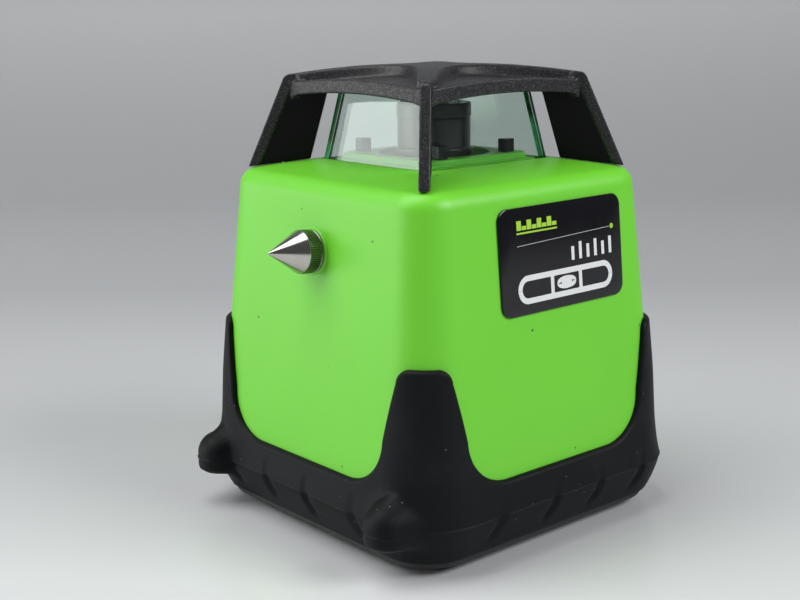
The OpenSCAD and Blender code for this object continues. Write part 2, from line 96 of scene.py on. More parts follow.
def on_face(side, z, x=0, y=0, out=0):
    """Frame on a leaning case side: local z points out of it and local y up it."""
    lean = Matrix.Rotation(math.pi / 2 - LEAN, 4, "X")
    return rotate(90 * side) @ move(0, -face_at(z), z) @ lean @ move(x, y, out)


# ---- Mesh helpers ----


def linked(name, data):
    """New object of that data, put into the scene."""
    obj = bpy.data.objects.new(name, data)
    bpy.context.collection.objects.link(obj)
    return obj


def new_object(name, points, faces, matrix=None, sharp=35):
    """Mesh object from points in millimetres, smooth except where faces meet sharply."""
    matrix = matrix or Matrix.Identity(4)
    mesh = bpy.data.meshes.new(name)
    mesh.from_pydata([matrix @ Vector(p) * MM for p in points], [], faces)
    mesh.validate()
    obj = linked(name, mesh)
    clean(obj, sharp)
    return obj


def clean(obj, sharp=35):
    """Welds doubles, points the faces outwards and sets smooth shading with sharp edges."""
    shape = bmesh.new()
    shape.from_mesh(obj.data)
    bmesh.ops.remove_doubles(shape, verts=shape.verts, dist=1e-7)
    bmesh.ops.recalc_face_normals(shape, faces=shape.faces)
    shape.to_mesh(obj.data)
    shape.free()
    obj.data.shade_smooth()
    obj.data.set_sharp_from_angle(angle=math.radians(sharp))


def loft_faces(rows, columns, closed=False, caps=False):
    """Quads between rings of equal length; the rings are closed round."""
    faces = []
    for i in range(rows if closed else rows - 1):
        low, high = i * columns, (i + 1) % rows * columns
        for j in range(columns):
            k = (j + 1) % columns
            faces.append((low + j, low + k, high + k, high + j))
    if caps:
        faces.append(tuple(reversed(range(columns))))
        faces.append(tuple(range((rows - 1) * columns, rows * columns)))
    return faces


def loft(name, rings, closed=False, caps=False, matrix=None, sharp=35):
    points = [p for ring in rings for p in ring]
    faces = loft_faces(len(rings), len(rings[0]), closed, caps)
    return new_object(name, points, faces, matrix, sharp)


def rounded_ring(half_x, half_y, radius, z, side=6):
    """One ring of a rounded rectangle, anticlockwise from the middle of its +X side."""
    flat_x, flat_y = half_x - radius, half_y - radius
    corner = [sin_cos(11.25 * i) for i in range(9)]
    quarter = [(half_x, flat_y * i / side) for i in range(side)]
    quarter += [(flat_x + radius * cosine, flat_y + radius * sine) for sine, cosine in corner]
    quarter += [(flat_x * (1 - i / side), half_y) for i in range(1, side)]
    upper = quarter + [(0, half_y)] + [(-x, y) for x, y in reversed(quarter[1:])]
    lower = [(-half_x, 0)] + [(-x, -y) for x, y in quarter[1:]] + [(0, -half_y)]
    lower += [(x, -y) for x, y in reversed(quarter[1:])]
    return [(x, y, z) for x, y in upper + lower]


def square_ring(half, radius, z):
    return rounded_ring(half, half, radius, z)


def square_rings(table):
    """Rings of rounded squares from (half width, corner radius, z) rows."""
    return [square_ring(*row) for row in table]


def circle_like(ring, radius, z):
    """A circle whose points look the same way as the ring's."""
    return [(x / math.hypot(x, y) * radius, y / math.hypot(x, y) * radius, z) for x, y, _ in ring]


def circle_ring(radius, z, count):
    step = 2 * math.pi / count
    return [(radius * math.cos(step * i), radius * math.sin(step * i), z) for i in range(count)]


def toothed_ring(radius, z, teeth, share):
    """A circle with that many grooves, each as deep as a share of the radius."""
    ring = enumerate(circle_ring(radius, z, 4 * teeth))
    scales = (1 - share, 1 - share, 1, 1)
    return [(x * scales[i % 4], y * scales[i % 4], z) for i, (x, y, z) in ring]


def lathe(name, profile, count=48, matrix=None, sharp=35):
    """Solid of revolution about local z from (radius, z) points, closed at both ends."""
    rings = [circle_ring(max(r, 1e-3), z, count) for r, z in profile]
    return loft(name, rings, caps=True, matrix=matrix, sharp=sharp)


def rod(radius, low, high, matrix, count=48):
    """Round bar along local z, mostly to cut holes with."""
    return lathe("rod", [(radius, low), (radius, high)], count, matrix)


def ring_lathe(name, profile, count, matrix=None):
    """Solid of revolution about local z whose (radius, z) profile is a closed loop."""
    rings = [circle_ring(r, z, count) for r, z in profile]
    return loft(name, rings, closed=True, matrix=matrix, sharp=25)


def baked(obj):
    """Replaces an object's mesh by what its modifiers make of it."""
    bpy.context.view_layer.update()
    graph = bpy.context.evaluated_depsgraph_get()
    mesh = bpy.data.meshes.new_from_object(obj.evaluated_get(graph))
    obj.modifiers.clear()
    obj.data = mesh
    return obj


def cut(obj, cutters, sharp=35):
    """Cuts closed objects out of obj and deletes them."""
    for cutter in cutters:
        change = obj.modifiers.new("cut", "BOOLEAN")
        change.object = cutter
        change.operation = "DIFFERENCE"
        change.solver = "EXACT"
    baked(obj)
    for cutter in cutters:
        bpy.data.objects.remove(cutter)
    clean(obj, sharp)
    return obj


def box(name, width, depth, height, matrix=None, radius=0):
    """A block centred on its frame, its edges rounded if a radius is given."""
    x, y, z = width / 2, depth / 2, height / 2
    points = [(i * x, j * y, k * z) for i in (-1, 1) for j in (-1, 1) for k in (-1, 1)]
    faces = [(0, 1, 3, 2), (4, 6, 7, 5), (0, 4, 5, 1), (2, 3, 7, 6), (0, 2, 6, 4), (1, 5, 7, 3)]
    obj = new_object(name, points, faces, matrix)
    if radius:
        soften(obj, radius)
    return obj


def soften(obj, radius, segments=3):
    """Rounds the edges of an object by a bevel, and bakes it in."""
    change = obj.modifiers.new("round", "BEVEL")
    change.width = radius * MM
    change.segments = segments
    change.limit_method = "ANGLE"
    change.angle_limit = math.radians(40)
    baked(obj)
    clean(obj, 50)
    return obj


def join(name, objects):
    """Joins the meshes of objects into one new object and removes the old ones."""
    whole = bmesh.new()
    for obj in objects:
        whole.from_mesh(obj.data)
    mesh = bpy.data.meshes.new(name)
    whole.to_mesh(mesh)
    whole.free()
    for obj in objects:
        bpy.data.objects.remove(obj)
    obj = linked(name, mesh)
    clean(obj)
    return obj


def dress(obj, material, body, slot, *replaced, weighted=True):
    """Gives a piece its material and its body, and hides the CAD nodes it stands for; its slot is
    not used.

    Its large faces also take the lead in the shading, so that flats stay flat beside bevels.
    """
    if weighted:
        weigh = obj.modifiers.new("weigh", "WEIGHTED_NORMAL")
        weigh.keep_sharp = True
        baked(obj)
    obj.data.materials.clear()
    obj.data.materials.append(material)
    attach(obj, body)
    if replaced:
        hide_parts(*replaced)
    return obj


def smoothstep(low, high, value):
    t = min(max((value - low) / (high - low), 0), 1)
    return t * t * (3 - 2 * t)


def between(table, value):
    """Value of a smooth curve through (position, value) pairs, held at both ends."""
    value = min(max(value, table[0][0]), table[-1][0])
    last = len(table) - 1
    i = max(k for k in range(last) if table[k][0] <= value)
    (x0, y0), (x1, y1) = table[i], table[i + 1]
    before, after = table[max(i - 1, 0)], table[min(i + 2, last)]
    t = (value - x0) / (x1 - x0)
    m0 = (y1 - before[1]) / (x1 - before[0]) * (x1 - x0)
    m1 = (after[1] - y0) / (after[0] - x0) * (x1 - x0)
    return ((2 * t**3 - 3 * t**2 + 1) * y0 + (t**3 - 2 * t**2 + t) * m0
            + (3 * t**2 - 2 * t**3) * y1 + (t**3 - t**2) * m1)


# ---- Materials ----


class Shader:
    """A node material under construction, its Principled shader already in place."""

    def __init__(self, name, color, roughness, metallic=0, **sockets):
        self.material = bpy.data.materials.new(name)
        self.material.use_nodes = True
        self.nodes = self.material.node_tree.nodes
        self.links = self.material.node_tree.links
        self.surface = self.nodes["Principled BSDF"]
        sockets.update(Base_Color=color, Roughness=roughness, Metallic=metallic)
        self.feed(self.surface, **sockets)
        self.place = self.nodes.new("ShaderNodeNewGeometry").outputs["Position"]
        self.color = color
        self.base = None
        self.height = None

    def feed(self, node, *numbered, **named):
        """Gives a node's inputs a value, a colour or an output to follow.

        Numbered ones are (index, value) pairs, named ones have _ for each space.
        """
        named = ((name.replace("_", " "), value) for name, value in named.items())
        for key, value in (*numbered, *named):
            socket = node.inputs[key]
            if isinstance(value, bpy.types.NodeSocket):
                self.links.new(value, socket)
            else:
                socket.default_value = (*value, 1) if socket.type == "RGBA" else value
        return node

    def node(self, kind, *numbered, **named):
        return self.feed(self.nodes.new("ShaderNode" + kind), *numbered, **named)

    def stretched(self, stretch):
        """The position stretched along the axes, for brushed or streaked patterns."""
        node = self.node("VectorMath", (0, self.place), (1, stretch))
        node.operation = "MULTIPLY"
        return node.outputs["Vector"]

    def noise(self, scale, detail=3, roughness=0.55, stretch=None):
        place = self.stretched(stretch) if stretch else self.place
        node = self.node("TexNoise", Scale=scale, Detail=detail, Roughness=roughness, Vector=place)
        return node.outputs["Fac"]

    def cells(self, scale):
        return self.node("TexVoronoi", Scale=scale, Vector=self.place).outputs["Distance"]

    def ramp(self, value, low, high, start=0, end=1):
        """Maps value from low..high to start..end, held at both ends."""
        node = self.node("MapRange", Value=value, From_Min=low, From_Max=high)
        return self.feed(node, To_Min=start, To_Max=end).outputs["Result"]

    def mix(self, factor, first, second):
        """Colour between two colours or colour outputs."""
        node = self.node("Mix")
        node.data_type = "RGBA"
        return self.feed(node, (6, first), (7, second), Factor=factor).outputs[2]

    def tone(self, factor, darker, lighter):
        """Varies the base colour between two multiples of itself."""
        low = tuple(c * darker for c in self.color)
        high = tuple(min(c * lighter, 1) for c in self.color)
        self.paint(factor, low, high)

    def paint(self, factor, first, second):
        """Mixes the base colour from two colours or colour outputs."""
        self.base = self.mix(factor, first, second)
        self.feed(self.surface, Base_Color=self.base)

    def rough(self, value, low, high, start, end):
        """Ramps the roughness from start to end."""
        self.feed(self.surface, Roughness=self.ramp(value, low, high, start, end))

    def bump(self, value, depth):
        """Adds a bump of that depth in millimetres, on top of any earlier one."""
        node = self.node("Bump", Strength=1, Distance=depth * MM, Height=value)
        if self.height:
            self.feed(node, Normal=self.height)
        self.height = node.outputs["Normal"]
        self.feed(self.surface, Normal=self.height)


def moulded(name, color, roughness, grain=0.35, depth=0.05, tones=(0.9, 1.08), **sockets):
    """Moulded plastic: slow colour drift, fine grain of the given size in millimetres."""
    shader = Shader(name, color, roughness, **sockets)
    shader.tone(shader.noise(24, 4), *tones)
    grains = shader.noise(1 / (grain * MM), 2, 0.6)
    shader.rough(grains, 0.3, 0.7, roughness - 0.05, roughness + 0.07)
    shader.bump(grains, depth)
    return shader


def green_case():
    shader = moulded("case_green", (0.15, 0.6, 0.026), 0.42, 0.55, 0.035, (0.96, 1.04))
    specks = shader.ramp(shader.cells(60), 0.03, 0.04)
    shader.paint(specks, (0.045, 0.13, 0.02), shader.base)
    return shader.material


def boot_rubber():
    """Matt rubber with settled dust: sparse pale specks and faint smears."""
    shader = moulded("boot_rubber", (0.004, 0.0046, 0.0056), 0.52, 0.5, 0.03, (0.75, 1.35),
                     Specular_IOR_Level=0.14)
    dust = shader.ramp(shader.cells(170), 0.052, 0.03)
    smears = shader.ramp(shader.noise(14, 6, 0.7), 0.52, 0.82, 0, 0.3)
    dusty = shader.mix(smears, shader.base, (0.028, 0.032, 0.036))
    shader.paint(dust, dusty, (0.16, 0.17, 0.18))
    return shader.material


def cage_plastic():
    """Spark-eroded black plastic: a coarse grain whose tips are painted lighter as painted glints.
    """
    black = (0.0045, 0.0045, 0.0055)
    shader = Shader("cage_plastic", black, 0.4, Specular_IOR_Level=0.42)
    grain = shader.noise(1500, 2, 0.6)
    # Painted glints: the tips of the grain are painted a lighter grey.
    painted_glints = shader.ramp(grain, 0.53, 0.64)
    shader.paint(painted_glints, black, (0.052, 0.052, 0.058))
    shader.rough(grain, 0.3, 0.7, 0.52, 0.36)
    shader.bump(grain, 0.08)
    return shader.material


def ground_edge():
    """The ground edge of a pane, where the light that runs inside it comes out green."""
    shader = Shader("ground_edge", (0.012, 0.15, 0.045), 0.22)
    bands = shader.noise(45, 2, 0.5, (1, 1, 1.6))
    bright = shader.ramp(bands, 0.4, 0.58)
    shader.paint(bright, (0.006, 0.085, 0.016), (0.045, 0.4, 0.16))
    shader.bump(shader.noise(900, 2), 0.01)
    return shader.material


def metal(name, color, roughness, stretch=(1, 1, 14), depth=0.004):
    """Bare metal with fine machining marks, stretched along the axes as given."""
    shader = Shader(name, color, roughness, 1)
    marks = shader.noise(900, 3, 0.6, stretch)
    shader.tone(shader.noise(60, 4), 0.9, 1.06)
    shader.rough(marks, 0.3, 0.7, max(roughness - 0.06, 0.02), roughness + 0.08)
    shader.bump(marks, depth)
    return shader.material


def clear(name, tint, density, ior=1.5):
    """Clear glass whose body tints light by the length of its path."""
    shader = Shader(name, (1, 1, 1), 0, Transmission_Weight=1, IOR=ior)
    shader.rough(shader.noise(35, 3), 0.35, 0.75, 0, 0.015)
    volume = shader.node("VolumeAbsorption", Color=tint, Density=density)
    shader.feed(shader.nodes["Material Output"], Volume=volume.outputs["Volume"])
    return shader.material


def printed(name, color):
    """Flat printed ink with a slight unevenness."""
    shader = Shader(name, color, 0.3)
    shader.tone(shader.noise(300, 2), 0.94, 1.04)
    shader.rough(shader.noise(500), 0.3, 0.7, 0.26, 0.35)
    return shader.material


def gloss(name, color, roughness, **sockets):
    """Glossy plastic with a barely uneven face, so that reflections waver."""
    shader = Shader(name, color, roughness, **sockets)
    shader.tone(shader.noise(20, 3), 0.9, 1.1)
    shader.rough(shader.noise(90, 4), 0.35, 0.7, roughness, roughness + 0.06)
    shader.bump(shader.noise(70, 2), 0.02)
    return shader.material


def circuit_board():
    """Green solder mask over faint copper tracks that run along the board's axes."""
    mask = (0.012, 0.13, 0.05)
    shader = Shader("circuit_board", mask, 0.35)
    tracks = shader.ramp(shader.noise(240, 1, 0.4, (1, 0.18, 1)), 0.5, 0.54)
    cross = shader.ramp(shader.noise(240, 1, 0.4, (1, 1, 0.18)), 0.53, 0.57)
    first = shader.mix(tracks, mask, (0.02, 0.24, 0.09))
    shader.paint(cross, first, (0.03, 0.28, 0.11))
    shader.bump(tracks, 0.03)
    return shader.material


GREEN = green_case()
RUBBER = boot_rubber()
CAGE = cage_plastic()
# A darker copy of the cage plastic for the fin webs: its darker colour is painted shade, for the
# dark the webs reflect.
WEB_SHADE_BLACK = moulded("web_painted_shade", (0.0022, 0.0022, 0.0026), 0.42, 0.4, 0.01,
                    Specular_IOR_Level=0.14).material
PANE = clear("pane_glass", (0.16, 0.86, 0.52), 42)
GLASS_EDGE = ground_edge()
OPTIC = clear("optical_glass", (0.7, 0.9, 0.95), 6, 1.52)
VIAL = clear("vial_glass", (0.55, 0.95, 0.1), 160, 1.47)
BLACK = moulded("black_plastic", (0.017, 0.018, 0.019), 0.5, 0.4, 0.04).material
SATIN_BLACK = moulded("satin_black", (0.011, 0.011, 0.013), 0.34, 0.3, 0.012).material
SEAL = moulded("seal_rubber", (0.014, 0.014, 0.014), 0.65).material
BUTTON = moulded("button_rubber", (0.1, 0.105, 0.11), 0.5, 0.3, 0.02).material
PANEL = moulded("panel_film", (0.02, 0.021, 0.024), 0.36, 0.25, 0.015).material
LENS_BLACK = gloss("receiver_gloss", (0.006, 0.005, 0.007), 0.14, Specular_IOR_Level=0.22)
ROTOR_BLACK = gloss("rotor_gloss", (0.009, 0.01, 0.011), 0.2)
BADGE = gloss("badge_gloss", (0.006, 0.006, 0.008), 0.06, Specular_IOR_Level=0.25,
              Coat_Weight=0.25, Coat_Roughness=0.03)
LIGHT = gloss("light_lens", (0.75, 0.07, 0.03), 0.12)
SLEEVE = gloss("cell_sleeve", (0.5, 0.27, 0.03), 0.22)
INK_GREEN = printed("ink_green", (0.36, 0.62, 0.05))
INK_WHITE = printed("ink_white", (0.72, 0.74, 0.75))
INK_PALE = printed("ink_pale", (0.4, 0.44, 0.42))
NICKEL = metal("nickel", (0.52, 0.5, 0.46), 0.17, (9, 1, 1))
DULL_NICKEL = metal("dull_nickel", (0.27, 0.26, 0.24), 0.3)
STEEL = metal("steel", (0.58, 0.58, 0.6), 0.28)
BRASS = metal("brass", (0.72, 0.5, 0.2), 0.26)
ALLOY = metal("cast_alloy", (0.6, 0.61, 0.63), 0.42, (1, 1, 1), 0.03)
BUSH = metal("bush_alloy", (0.66, 0.64, 0.58), 0.3)
ANODISED = metal("black_anodised", (0.055, 0.055, 0.062), 0.38)
CAN = metal("motor_can", (0.42, 0.43, 0.45), 0.3)
FOOT = moulded("foot_rubber", (0.02, 0.02, 0.021), 0.7, 0.6, 0.06).material
BELT = moulded("belt_rubber", (0.012, 0.012, 0.012), 0.6).material
BOARD = circuit_board()

# ---- Case shell ----

PANEL_Z = 108
DOOR_Z = 71
SOCKET_Z = 122
CONE_Z = 122
BUTTONS = {
    "power_button": (-20, 6), "speed_button": (0, 6), "scan_button": (20, 6),
    "mode_button": (-20, -12), "up_button": (0, -12), "down_button": (20, -12),
}
BUTTON_R = 4.2
BUTTON_GAP = 0.3
LIGHT_XS = (-12, 0, 12)
LIGHT_Y = 18.5
LIGHT_R = 1.3
LATCH_Y = 25
LATCH_R = 2.35
DOOR_HINGE = (0, -29, -1.6)
CAP_HINGE = (0, -11.4, 2.2)


def panel_cutters(low, high, light_count):
    """Bars that cut the holes of the buttons and the status lights."""
    cutters = [rod(BUTTON_R + BUTTON_GAP, low, high, on_face(1, PANEL_Z, x, y))
               for x, y in BUTTONS.values()]
    return cutters + [rod(LIGHT_R, low, high, on_face(1, PANEL_Z, x, LIGHT_Y), light_count)
                      for x in LIGHT_XS]


def shoulder_ring(radius, angle):
    """Ring of the rounded shoulder, angle degrees up from its outermost line."""
    sine, cosine = sin_cos(angle)
    reach = radius * cosine
    return square_ring(SHOULDER_HALF + reach, SHOULDER_R + reach, SHOULDER_Z + radius * sine)


def crown_ring(part):
    """Ring on the gently crowned top, part of the way from shoulder to plateau."""
    sine, cosine = sin_cos(80)
    half0 = SHOULDER_HALF + SHOULDER_R * cosine
    radius0 = SHOULDER_R * (1 + cosine)
    z0 = SHOULDER_Z + SHOULDER_R * sine
    half = half0 + (PLATEAU_HALF - half0) * part
    z = z0 + (PLATEAU_Z - z0) * part + 0.22 * math.sin(math.pi * part)
    return square_ring(half, radius0 + (3 - radius0) * part, z)


def toe_in(z):
    """How far the case draws in toward its hidden lower edge, clear of the boot's dents."""
    return TOE_IN * (1 - smoothstep(CASE_Z0, 27, z))


def housing_shell():
    """The green moulding: one skin up the outside, over the top and down the inside."""
    rings = [square_ring(face_at(z) - toe_in(z), case_radius(z), z)
             for z in (CASE_Z0, 17, 20, 23, 27, 45, 85, 125, 141)]
    rings += [shoulder_ring(SHOULDER_R, a) for a in range(5, 85, 9)]
    rings += [crown_ring(part) for part in (0.06, 0.3, 0.55, 0.8, 0.97, 1)]
    rings += square_rings([
        (35.3, 1.5, PLATEAU_Z), (35.2, 1.4, PLATEAU_Z - 0.2), (35.2, 1.4, GROOVE_Z),
        (30.5, 1.4, GROOVE_Z), (30.5, 1.4, PLATEAU_Z - 0.1), (30.4, 1.4, PLATEAU_Z)])
    for sine, cosine in map(sin_cos, (0, 25, 50, 70)):
        flare, z = 0.8 * (1 - sine), PLATEAU_Z + 0.8 * (1 - cosine)
        rings.append(square_ring(PLINTH_HALF + flare, PLINTH_R + flare, z))
    for sine, cosine in map(sin_cos, (0, 30, 60, 90)):
        half, z = PLINTH_HALF - 0.9 * (1 - cosine), PLINTH_Z - 0.9 + 0.9 * sine
        rings.append(square_ring(half, PLINTH_R, z))
    guide = rings[-1]
    for sine, cosine in map(sin_cos, (90, 60, 30, 0)):
        rings.append(circle_like(guide, PORT_R + 0.6 * (1 - cosine), PLINTH_Z - 0.6 + 0.6 * sine))
    rings += [circle_like(guide, PORT_R, DECK_Z), square_ring(33, 3, DECK_Z)]
    rings += [shoulder_ring(SHOULDER_R - WALL, a) for a in range(80, 0, -15)]
    rings += [square_ring(face_at(z) - WALL, case_radius(z) - WALL, z) for z in (100, 50, CASE_Z0)]
    shell = loft("shell", rings, closed=True)

    cutters = [box("cut", 66.6, 60.3, 14, on_face(2, DOOR_Z, 0, -0.75)),
               rod(7.3, -9, 9, on_face(2, SOCKET_Z)), rod(6.05, -12, 9, on_face(3, CONE_Z))]
    cut(shell, cutters + panel_cutters(-8, 8, 48))

    boss = lathe("boss", [
        (9.8, -0.6), (9.8, 0), (9.6, 0.5), (9.4, 0.8), (9, 1), (6.1, 1), (6.1, -0.6)],
        64, on_face(3, CONE_Z))
    latch = box("latch", 14, 17, 3.2, on_face(2, DOOR_Z, 0, 27, -5.4))
    cut(latch, [rod(LATCH_R, -9, 3, on_face(2, DOOR_Z, 0, LATCH_Y))])
    dress(join("green_housing", [shell, boss, latch]), GREEN, "case", "case_green",
          "housing_shell")


# ---- Rubber boot ----

# Half width and corner radius of the boot's outside at each height.
BOOT_HALVES = [(6.3, 73.1), (9, 74.6), (14, 76.9), (18, 78.4), (22, 79.3), (25, 79),
               (30, 78.1), (38, 76.9), (50, 75.9), (62, 75), (84.5, 73)]
BOOT_RADII = [(6.3, 21), (22, 28), (38, 25.5), (60, 23), (84.5, 21.4)]
SOLE_Z = 6.3
SOLE_HALF = 71.8
SOLE_R = 20.3
HORN_TOP = 84.5
SILL_Z = 35
EDGE_R = 1.7
PARTING_Z = 22
# Columns of the skin past COLUMN_SPLIT are spread up to the corner's diagonal.
COLUMN_SPLIT = 57.4
COLUMN_END = 66.4
BUMP_AT = (-78.4, 59)
BUMP_R = 9.6
BUMP_Z = (15.9, 23.4)
BUMP_BLEND = 4.6
BUMPS_END_Z = 32.6
DENT_XS = (-36, -4.5, 23, 50)
DENT_DEPTH = 1.5
FLASH = 0.34
FLASH_WIDTH = 0.32


def boot_edge():
    """Upper edge over an eighth of the boot: sill, rounded corner, slanting side, horn."""
    points = [(30 * i / 26, SILL_Z) for i in range(26)]
    corner = [sin_cos(5 * i) for i in range(18)]
    points += [(30 + 21 * sine, 55 - 20 * cosine) for sine, cosine in corner]
    points += [(51 + 5.3 * i / 14, 55 + 24 * i / 14) for i in range(14)]
    tip = [sin_cos(11.25 * i) for i in range(8)]
    points += [(56.3 + 4.9 * (1 - cosine), 79 + 5.5 * sine) for sine, cosine in tip]
    points += [(61.2 + (COLUMN_END - 61.2) * i / 5, HORN_TOP) for i in range(6)]
    return points


def inward(points, depth):
    """The edge curve moved into the rubber by depth."""
    out = []
    for i, (s, z) in enumerate(points):
        s0, z0 = points[max(i - 1, 0)]
        s1, z1 = points[min(i + 1, len(points) - 1)]
        length = math.hypot(s1 - s0, z1 - z0)
        out.append((s + (z1 - z0) / length * depth, z - (s1 - s0) / length * depth))
    return out


def dent(u, z):
    """Depth of the crescent dents round the parting line, u along a side.

    They sweep aside below the line, and are steeper on the side they sweep away from.
    """
    over = smoothstep(PARTING_Z - 1, PARTING_Z + 1, z)
    fade = smoothstep(10.5, 14, z) * (1 - 0.6 * over) * (1 - smoothstep(25, 31, z))
    deepest = 0
    for at in DENT_XS:
        offset = u - at + 3.4 * (max(PARTING_Z - z, 0) / 9) ** 2
        width = 1.3 if offset > 0 else 2.6
        deepest = max(deepest, DENT_DEPTH * math.exp(-((offset / width) ** 2)))
    return deepest * fade


def flash(z):
    """The thin moulding line that stands proud round the boot."""
    return FLASH * math.exp(-(((z - PARTING_Z) / FLASH_WIDTH) ** 2))


def bumped(point):
    """Pulls the -X side out over the two upright round bumps."""
    x, y, z = point
    across = abs(y) - BUMP_AT[1]
    above = max(z - BUMP_Z[1], 0)
    below = max(BUMP_Z[0] + 2 - z, 0) * 2.6
    room = BUMP_R**2 - across**2 - above**2 - below**2
    if x > -40 or room <= -120:
        return point
    reach = -BUMP_AT[0] + (math.sqrt(room) if room > 0 else room * 0.25)
    out = (-x + reach + math.sqrt((-x - reach) ** 2 + BUMP_BLEND**2)) / 2
    fade = 1 - smoothstep(12, 20, math.hypot(across, above))
    swell = (out + x) * fade
    return (x - swell - flash(z) * min(swell / 3, 1), y, z)


def boot_point(side, s, z, half, radius, depth=0):
    """Point of a rounded square at column s of a side; s is measured from its middle."""
    half, radius = half - depth, radius - depth
    flat = half - radius
    diagonal = flat + radius * math.sqrt(0.5)
    x = abs(s)
    if x > COLUMN_SPLIT:
        part = (x - COLUMN_SPLIT) / (COLUMN_END - COLUMN_SPLIT)
        x = COLUMN_SPLIT + part * (diagonal - COLUMN_SPLIT)
    y = half if x <= flat else flat + math.sqrt(max(radius**2 - (x - flat) ** 2, 0))
    x = math.copysign(x, s)
    return {0: (x, -y, z), 1: (y, x, z), 2: (-x, y, z), 3: (-y, -x, z)}[side]


def outer_point(side, s, z, depth=0):
    u = -s if side == 3 else s
    depth = depth + dent(u, z) - flash(z)
    return bumped(boot_point(side, s, z, between(BOOT_HALVES, z), between(BOOT_RADII, z), depth))


def inner_point(side, s, z):
    return boot_point(side, s, z, face_at(z) - toe_in(z) + 0.08, case_radius(z) + 0.08)


def boot_column(side, sign, rim, deep):
    """One closed loop of the boot's section: under, up the outside, over, down the inside."""
    s_edge, z_edge = rim[0] * sign, rim[1]
    s_deep, z_deep = deep[0] * sign, deep[1]
    loop = [boot_point(side, s_deep, *row) for row in (
        (SOLE_Z, SOLE_HALF, SOLE_R), (SOLE_Z, 72.6, 20.6), (6.7, 73.3, 20.9))]
    zs = [7.4, 8.4, 9.6, 11, 12.5, 14, 15.5, 17, 18.2, 19.4, 20.4, 21.2]
    zs += [PARTING_Z + 0.25 * k for k in range(-2, 3)]
    zs += [22.9, 23.8, 25, 26.2, 27.4, 28.6, 29.7, 30.7, 31.7, BUMPS_END_Z]
    zs += [BUMPS_END_Z + (z_deep - BUMPS_END_Z) * k / 18 for k in range(1, 19)]
    loop += [outer_point(side, s_deep, z) for z in zs]
    for sine, cosine in map(sin_cos, (18, 36, 54, 72, 90)):
        s = s_edge + (s_deep - s_edge) * (1 - sine)
        z = z_edge + (z_deep - z_edge) * (1 - sine)
        loop.append(outer_point(side, s, z, EDGE_R * (1 - cosine)))
    zs = [z_edge] + [27 + (z_edge - 27) * part for part in (0.66, 0.33, 0)] + [20, 14.3]
    loop += [inner_point(side, s_edge, z) for z in zs]
    loop.append(boot_point(side, s_edge, CASE_Z0, SOLE_HALF, SOLE_R))
    return loop


def rubber_boot():
    edge = boot_edge()
    pairs = list(zip(edge, inward(edge, EDGE_R)))
    columns = []
    for side in range(4):
        columns += [boot_column(side, -1, *pair) for pair in reversed(pairs[1:])]
        columns += [boot_column(side, 1, *pair) for pair in pairs[:-1]]
    boot = loft("boot", columns, closed=True, sharp=60)
    dress(boot, RUBBER, "case", "boot_rubber", "rubber_boot")


# ---- Lantern: cage, panes, receivers ----

FIN_T = 4.6
WEB_T = 3.2
RIB_TOP = [(0, 195), (28.3, 194.5), (46.7, 193), (62.3, 191)]
FASCIA_HALF = 45
FASCIA_T = 2.5
GLASS_HALF = 34.2
GLASS_LEAN = math.radians(9.76)
GLASS_T = 2.8
GLASS_Z0 = 153.7
GLASS_Z1 = 186.2


def prism(name, outline, thickness, matrix=None):
    """A plate with an (x, z) outline, centred on y = 0."""
    count = len(outline)
    points = [(x, y, z) for y in (-thickness / 2, thickness / 2) for x, z in outline]
    return new_object(name, points, loft_faces(2, count, caps=True), matrix)


def fin(heading):
    """One diagonal fin with its half of the roof rib: a thin web inside a thicker rim."""
    top = [(65 * i / 24, between(RIB_TOP, 65 * i / 24)) for i in range(24)]
    nose = [(62.3 + 3.3 * sine, 187.4 + 3.6 * cosine)
            for sine, cosine in map(sin_cos, range(15, 90, 15))]
    foot = [(77.9, 151.4), (54.3, 154.4)]
    outline = top + nose + [(81.7, 151)] + foot + [(46.4, 182.3), (44, 187.3), (0, 187.3)]
    inner = [(77, 151.5), (61.4, 186.2), (60.2, 187.3), (0, 187.3)]
    spin = rotate(heading)
    rim = prism("rim", top + nose + [(81.7, 151)] + inner, FIN_T - 0.1, spin)
    return join("fin", [rim, prism("web", outline, WEB_T, spin)])


def fascia_top(u):
    """Height of the fascia's upper edge, u from -1 to 1 along it."""
    return 187.5 + 2.6 * (1 - u * u)


def fascia(side):
    """The arched strip over one pane."""
    rings = []
    for i in range(25):
        u = i / 12 - 1
        low = 181.4 + 2.9 * (1 - u * u) - 1.6 * smoothstep(0.86, 1, abs(u))
        x, high = u * 44.6, fascia_top(u)
        outer, inner = -FASCIA_HALF + 0.05, -FASCIA_HALF + FASCIA_T
        rings.append([(x, outer, low), (x, inner, low), (x, inner, high), (x, outer, high)])
    return loft("fascia", rings, caps=True, matrix=rotate(90 * side))


def roof_height(x, y):
    """Top of the roof: a raised cross whose arms widen inwards, round four sunken panels."""
    near, far = sorted((abs(x), abs(y)))
    panel = fascia_top(near / FASCIA_HALF) - 1.5 + (43 - far) * 0.07
    rib = between(RIB_TOP, math.hypot(x, y)) - 0.1
    gap = far - 2.6 - math.hypot(near, 13)
    return rib + (min(panel, rib) - rib) * smoothstep(0, 1.8 + (43 - near) * 0.05, gap)


def roof():
    """The roof plate between the fascias, 3 mm thick."""
    half, steps = 43.6, 170
    at = [half * (2 * i / steps - 1) for i in range(steps + 1)]
    points = [(x, y, roof_height(x, y)) for y in at for x in at]
    points += [(x, y, z - 3) for x, y, z in points]
    row = steps + 1
    layer = row * row
    faces = []
    for j in range(steps):
        for i in range(steps):
            a = j * row + i
            faces.append((a, a + 1, a + row + 1, a + row))
            faces.append((layer + a, layer + a + row, layer + a + row + 1, layer + a + 1))
    border = list(range(row)) + [(j + 1) * row - 1 for j in range(1, row)]
    border += [layer - 1 - i for i in range(1, row)] + [j * row for j in range(steps - 1, 0, -1)]
    for k, a in enumerate(border):
        b = border[(k + 1) % len(border)]
        faces.append((a, layer + a, layer + b, b))
    return new_object("roof", points, faces)


